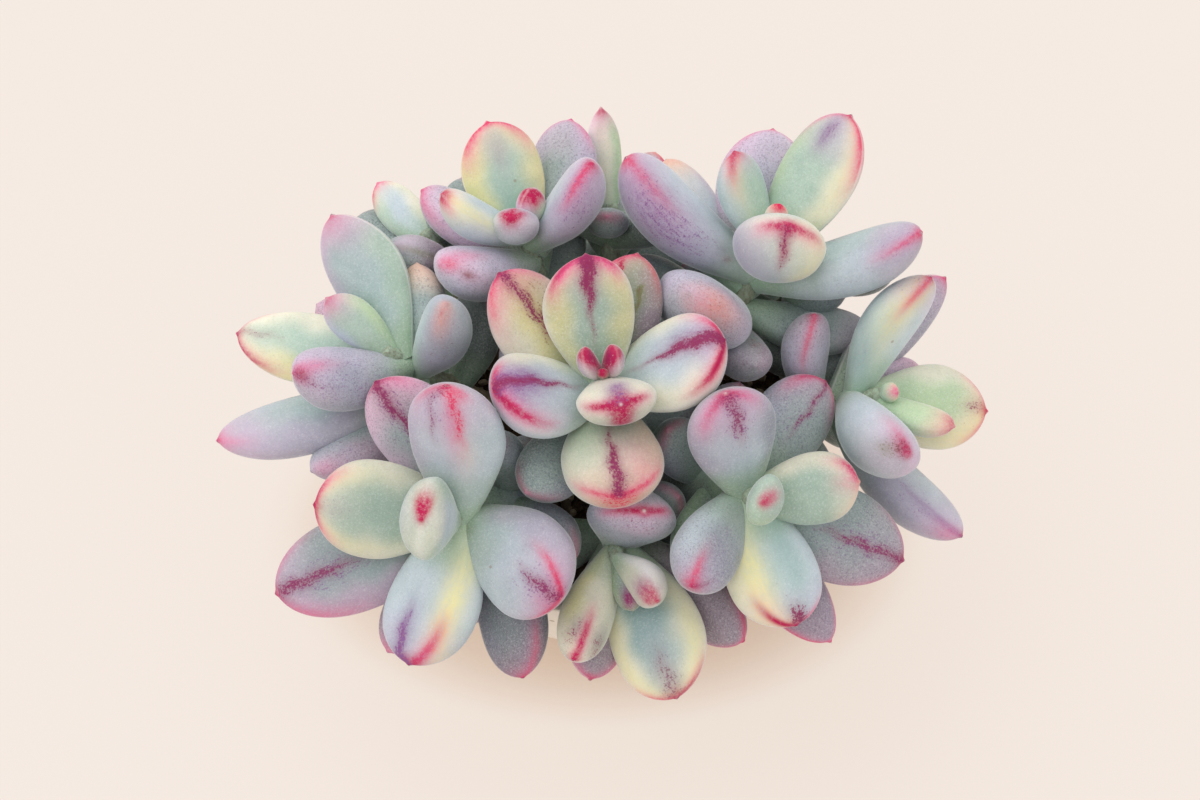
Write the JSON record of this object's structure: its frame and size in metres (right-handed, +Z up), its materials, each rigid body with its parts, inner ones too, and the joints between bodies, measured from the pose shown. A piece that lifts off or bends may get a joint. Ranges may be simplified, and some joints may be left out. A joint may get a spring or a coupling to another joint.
{
  "type": "potted cotyledon",
  "caption": "Potted succulent with crowded rosettes of fat, pale, pink-edged oval leaves on short stems, in a low round tapered pot filled with soil.",
  "frame": {"origin": "centre of the pot's flat base, on the surface that the pot stands on", "axes": "+Z up; the picture looks from the front, -Y, and from 60 degrees above the ground; +X is the picture's right"},
  "size_m": [0.1912, 0.1455, 0.1233],
  "materials": {
    "ceramic": "matte, unglazed cream ceramic",
    "soil": "matte, loose dark potting soil with fine grit",
    "leaf": "satin, powdery blue-green skin with cream bands and pink to crimson edges and streaks"
  },
  "bodies": {
    "root": {"pot": "ceramic", "soil": "soil", "shoot_centre": "leaf", "shoot_back_left": "leaf", "shoot_back_right": "leaf", "shoot_left": "leaf", "shoot_front_left": "leaf", "shoot_front": "leaf", "shoot_front_right": "leaf", "shoot_right": "leaf", "shoot_back": "leaf", "shoot_far_left": "leaf", "shoot_far_right": "leaf"}
  },
  "joints": []
}
